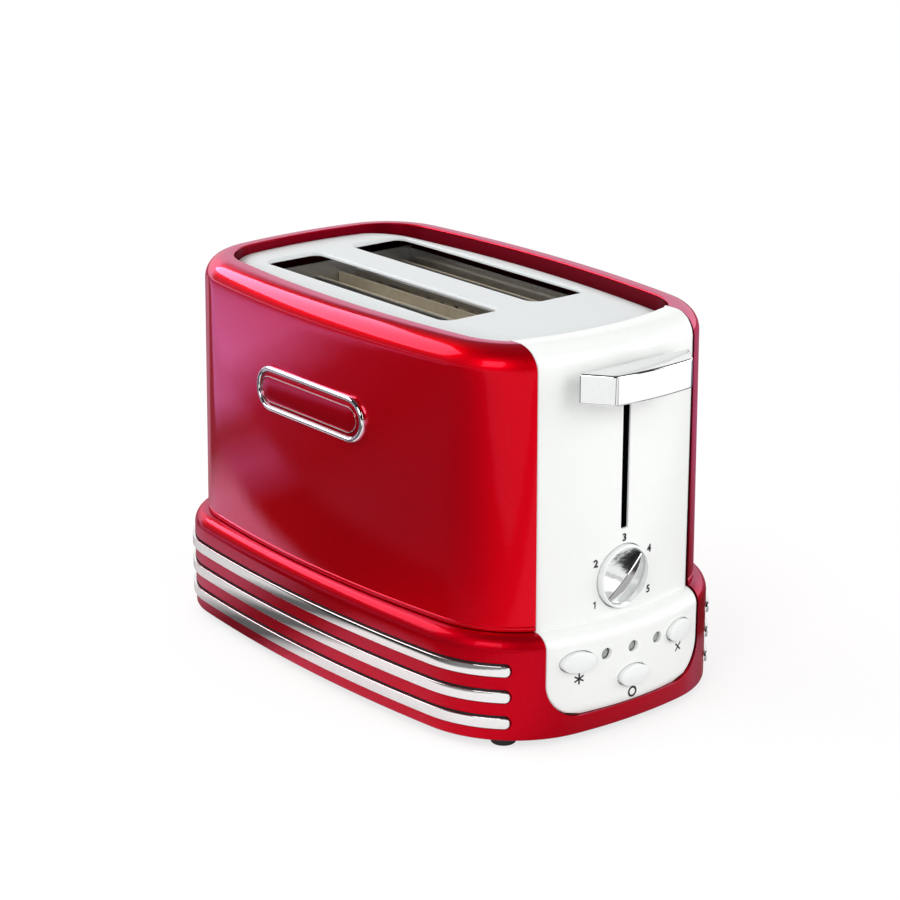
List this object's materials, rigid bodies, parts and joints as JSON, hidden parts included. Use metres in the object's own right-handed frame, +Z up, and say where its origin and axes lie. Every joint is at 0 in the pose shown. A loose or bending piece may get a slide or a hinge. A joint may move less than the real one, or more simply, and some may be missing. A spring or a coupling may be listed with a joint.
{
  "type": "bagel toaster",
  "caption": "Rounded bagel toaster with a stepped base, chrome trim, side lever, browning knob, push buttons and a crumb tray.",
  "frame": {"origin": "middle of the bounding box, on the surface the feet stand on", "axes": "+Z up, +Y from the control panel towards the back, along the slots, +X to the right as seen from the panel"},
  "size_m": [0.1844, 0.3054, 0.2],
  "materials": {
    "red_enamel": "deep red metallic gloss",
    "red_moulding": "moulded base in the casing's red",
    "white_plastic": "white gloss",
    "chrome": "polished",
    "sheet_steel": "plain sheet",
    "bright_sheet": "bright sheet",
    "rubber": "matt",
    "black_plastic": "matt",
    "lens": "clear",
    "mica": "mica sheet with its winding",
    "board": "circuit board",
    "coil": "copper winding on an iron core",
    "potentiometer": "moulded",
    "terminal": "moulded"
  },
  "bodies": {
    "casing": {"outer_shell": "red_enamel", "badge_plate": "red_enamel", "base_shell": "red_moulding", "front_panel": "white_plastic", "top_plate": "white_plastic", "trim_left_lower": "chrome", "trim_left_middle": "chrome", "trim_left_upper": "chrome", "trim_right_lower": "chrome", "trim_right_middle": "chrome", "trim_right_upper": "chrome", "badge_frame": "chrome", "bottom_plate": "sheet_steel", "front_bulkhead": "sheet_steel", "rear_bulkhead": "sheet_steel", "guide_rod_left": "sheet_steel", "guide_rod_right": "sheet_steel", "return_spring": "sheet_steel", "screw_front_left": "sheet_steel", "screw_front_right": "sheet_steel", "screw_rear_left": "sheet_steel", "screw_rear_right": "sheet_steel", "heat_shield_left": "bright_sheet", "heat_shield_right": "bright_sheet", "foot_front_left": "rubber", "foot_front_right": "rubber", "foot_rear_left": "rubber", "foot_rear_right": "rubber", "cord_inlet": "black_plastic", "switch_left": "black_plastic", "switch_middle": "black_plastic", "switch_right": "black_plastic", "indicator_lens_left": "lens", "indicator_lens_middle": "lens", "indicator_lens_right": "lens", "heater_card_left_outer": "mica", "heater_card_left_inner": "mica", "heater_card_right_inner": "mica", "heater_card_right_outer": "mica", "control_board": "board", "electromagnet": "coil", "knob_potentiometer": "potentiometer", "terminal_block": "terminal"},
    "carriage": {"carriage": "sheet_steel", "lever_handle": "chrome", "bread_lifter_left": "sheet_steel", "bread_lifter_right": "sheet_steel", "armature_plate": "sheet_steel"},
    "knob": {"browning_knob": "white_plastic", "knob_face": "chrome"},
    "button_left": {"button_left": "white_plastic"},
    "button_middle": {"button_middle": "white_plastic"},
    "button_right": {"button_right": "white_plastic"},
    "tray": {"crumb_tray": "sheet_steel"},
    "guard_left_outer": {"bread_guard_left_outer": "sheet_steel"},
    "guard_left_inner": {"bread_guard_left_inner": "sheet_steel"},
    "guard_right_inner": {"bread_guard_right_inner": "sheet_steel"},
    "guard_right_outer": {"bread_guard_right_outer": "sheet_steel"}
  },
  "joints": [
    {"name": "lever_slide", "type": "slide", "parent": "casing", "child": "carriage", "axis": [0, 0, -1], "range_m": [0, 0.07], "stiffness_N_per_m": 80, "springref_m": -0.06, "deforming": ["return_spring"]},
    {"name": "knob_turn", "type": "hinge", "parent": "casing", "child": "knob", "pos_m": [0, -0.13285, 0.077], "axis": [0, 1, 0], "range_deg": [-170, 70]},
    {"name": "button_left_push", "type": "slide", "parent": "casing", "child": "button_left", "axis": [0, 1, 0], "range_m": [0, 0.0015], "stiffness_N_per_m": 400, "springref_m": -0.001},
    {"name": "button_middle_push", "type": "slide", "parent": "casing", "child": "button_middle", "axis": [0, 1, 0], "range_m": [0, 0.0015], "stiffness_N_per_m": 400, "springref_m": -0.001},
    {"name": "button_right_push", "type": "slide", "parent": "casing", "child": "button_right", "axis": [0, 1, 0], "range_m": [0, 0.0015], "stiffness_N_per_m": 400, "springref_m": -0.001},
    {"name": "tray_slide", "type": "slide", "parent": "casing", "child": "tray", "axis": [0, 1, 0], "range_m": [0, 0.18]},
    {"name": "guard_left_outer_lean", "type": "hinge", "parent": "casing", "child": "guard_left_outer", "pos_m": [-0.0435, 0.0259, 0.07], "axis": [0, 1, 0], "range_deg": [0, 5]},
    {"name": "guard_left_inner_lean", "type": "hinge", "parent": "casing", "child": "guard_left_inner", "pos_m": [-0.014, 0.0259, 0.07], "axis": [0, -1, 0], "range_deg": [0, 5]},
    {"name": "guard_right_inner_lean", "type": "hinge", "parent": "casing", "child": "guard_right_inner", "pos_m": [0.014, 0.0259, 0.07], "axis": [0, 1, 0], "range_deg": [0, 5]},
    {"name": "guard_right_outer_lean", "type": "hinge", "parent": "casing", "child": "guard_right_outer", "pos_m": [0.0435, 0.0259, 0.07], "axis": [0, -1, 0], "range_deg": [0, 5]}
  ],
  "couplings": [
    {"joint": "guard_left_outer_lean", "follows": "lever_slide", "rad_per_m": 1.2466},
    {"joint": "guard_left_inner_lean", "follows": "lever_slide", "rad_per_m": 1.2466},
    {"joint": "guard_right_inner_lean", "follows": "lever_slide", "rad_per_m": 1.2466},
    {"joint": "guard_right_outer_lean", "follows": "lever_slide", "rad_per_m": 1.2466}
  ]
}
